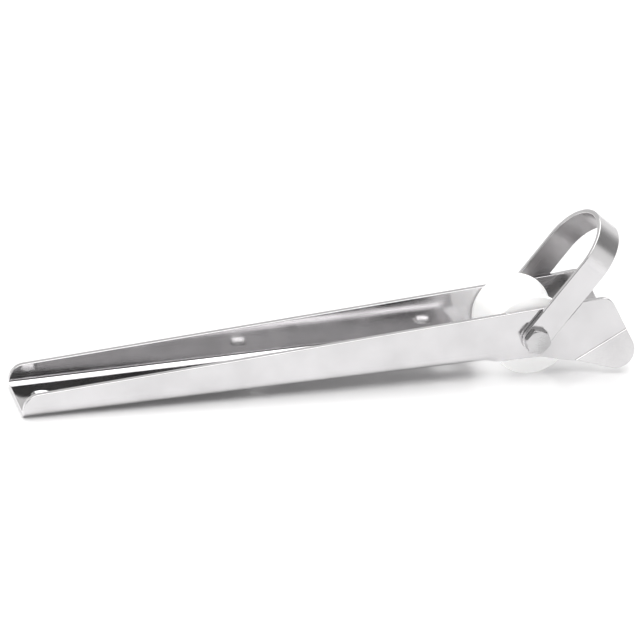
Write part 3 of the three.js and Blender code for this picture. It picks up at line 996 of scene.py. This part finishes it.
# %% [markdown]
# ## Bolt and lock nut
#
# The head and the nut start as hexagonal bar, and a lathe then turns their corners off at thirty
# degrees. Where that cone meets the six flats it leaves the curved edges that make a hexagon look
# real. Cutting a prism with a cone would need a Boolean modifier and leave ragged triangles; with
# rings the same edge is a formula, because the cone's height at each angle follows from the radius.

# %% Hexagons
ACROSS_FLATS = 16.0
HEX_CHAMFER = math.tan(math.radians(30))
HEAD_TURN = math.radians(47)
FACE_SHARE = 0.97
CORNER_OFF = 0.15
flat_ring = ACROSS_FLATS / 2 * FACE_SHARE
sharp_corner = ACROSS_FLATS / 2 / math.cos(math.pi / 6)


def hexagon(inset=0.0):
    """Radius of the hexagon at an angle, with its corners slightly turned off."""
    def radius(angle):
        from_flat = (angle - HEAD_TURN) % (math.pi / 3) - math.pi / 6
        return min(ACROSS_FLATS / 2 / math.cos(from_flat), sharp_corner - CORNER_OFF) - inset
    return radius


def hexagon_rings(end, inwards, soft=0.14):
    """Rings from the flat end face out over the chamfer and on to the six flats. inwards is 1 if the
    block lies on the +Y side of this end."""
    full = hexagon()

    def on_cone(extra):
        return lambda angle: end + inwards * ((full(angle) - flat_ring) * HEX_CHAMFER + extra)
    return [
        ring_at(end, flat_ring - soft),
        ring_at(end + inwards * soft * 0.15, flat_ring - soft * 0.2),
        ring_at(end + inwards * soft * HEX_CHAMFER * 0.6, flat_ring + soft * 0.6),
        ring_at(on_cone(-soft * HEX_CHAMFER * 0.5), hexagon(soft * 0.5)),
        ring_at(on_cone(0.3 * soft), hexagon(soft * 0.1)),
        ring_at(on_cone(soft), full),
    ]


print("hexagon", ACROSS_FLATS, "across flats,", round(2 * (sharp_corner - CORNER_OFF), 2), "across corners")


# %% [markdown]
# The thread is cut the way a die cuts it: a V that climbs by its pitch in each turn, runs out
# gently towards the head, and is tapered off at the tip so that the nut starts straight. A Screw
# modifier could sweep a V round the axle, but joining its ends to the plain shank would take a
# Boolean; here the radius of each ring simply depends on the angle, so the whole bolt is one skin.

# %% The bolt, with a cut thread
_, head_low, bolt_high = span("pivot_bolt")
_, washer_low, _ = span("nut_washer")
head_high = -washer_low
BOLT_RADIUS = 5.0
PITCH = 1.5
THREAD_DEPTH = 0.85
THREAD_LENGTH = 12.0
FLANK_STEEPNESS = 1.25
FLANK_SHARE = 0.9
ROOT_WIDTH = 0.12
TIP_TAPER = 1.3
thread_start = bolt_high - THREAD_LENGTH
thread_end = bolt_high - 0.9


def threaded(place):
    """Radius of the thread at an angle: sloping flanks between a narrow crest and a narrow root."""
    def radius(angle):
        turn = (place / PITCH - angle / (2 * math.pi)) % 1
        flank = FLANK_STEEPNESS * (1 - abs(2 * turn - 1)) / FLANK_SHARE
        height = min(1.0, max(0.0, flank - ROOT_WIDTH))
        run_out = min(1.0, (place - thread_start) / PITCH)
        taper = max(0.0, place - thread_end)
        return BOLT_RADIUS - max(THREAD_DEPTH * (1 - height) * run_out, taper)
    return radius


bolt_rings = hexagon_rings(head_low, 1)
bolt_rings += [
    ring_at(head_high - 0.25, hexagon()),
    ring_at(head_high - 0.05, hexagon(0.08)),
    ring_at(head_high, hexagon(0.3)),
    ring_at(head_high, BOLT_RADIUS + 0.25),
    ring_at(head_high + 0.25, BOLT_RADIUS),
    ring_at(thread_start - 0.1, BOLT_RADIUS),
]
thread_steps = int(THREAD_LENGTH / PITCH * 10)
for k in range(thread_steps + 1):
    place_along = thread_start + THREAD_LENGTH * k / thread_steps
    bolt_rings.append(ring_at(place_along, threaded(place_along)))
bolt_rings.append(ring_at(bolt_high, BOLT_RADIUS - TIP_TAPER))
add_lathed("pivot_bolt_threaded", lofted("pivot_bolt_threaded", bolt_rings, closed=False),
           "channel_body", "pivot_bolt", "stainless_fastener", fastener_steel)
print("thread of", round(THREAD_LENGTH / PITCH), "turns")

# %% [markdown]
# A lock nut has a collar above its hexagon, rolled inwards over a nylon ring that grips the thread.
# The collar is turned, so below it the hexagon ends in a full chamfer, and the collar's outside is
# one soft curve.

# %% The lock nut and its insert
_, nut_low, nut_high = span("lock_nut")
COLLAR = 2.2
COLLAR_RADIUS = 7.3
SEAT_RADIUS = 6.5
BORE_CHAMFER = 0.5
hex_high = nut_high - COLLAR
nut_rings = [ring_at(nut_low + BORE_CHAMFER, BOLT_BORE), ring_at(nut_low, BOLT_BORE + BORE_CHAMFER)]
nut_rings += hexagon_rings(nut_low, 1)
nut_rings += list(reversed(hexagon_rings(hex_high, -1)))
nut_rings += [
    ring_at(hex_high + 0.02, COLLAR_RADIUS + 0.12),
    ring_at(hex_high + 0.2, COLLAR_RADIUS),
    ring_at(nut_high - 0.9, COLLAR_RADIUS),
    ring_at(nut_high - 0.45, COLLAR_RADIUS - 0.12),
    ring_at(nut_high - 0.12, COLLAR_RADIUS - 0.38),
    ring_at(nut_high, COLLAR_RADIUS - 0.62),
    ring_at(nut_high - 0.1, SEAT_RADIUS),
    ring_at(hex_high, SEAT_RADIUS),
    ring_at(hex_high, BOLT_BORE),
]
add_lathed("lock_nut_hexagon", lofted("lock_nut_hexagon", nut_rings, closed=True),
           "channel_body", "lock_nut", "stainless_fastener", fastener_steel)
add_ring("lock_nut_ring", "lock_nut_insert", BOLT_BORE, RING_SOFT, "white_nylon", roller_nylon)
print("nut from", round(nut_low, 2), "to", round(nut_high, 2))

# %% [markdown]
# ## The size
#
# The fine shape must stay inside the CAD model's box, because that box is what a designer plans
# with.

# %% Sizes
visual_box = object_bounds()
for corner_cad, corner_visual in zip(cad_box, visual_box):
    cad_mm = [round(c / MM, 2) for c in corner_cad]
    print("CAD", cad_mm, "visual", [round(c / MM, 2) for c in corner_visual])
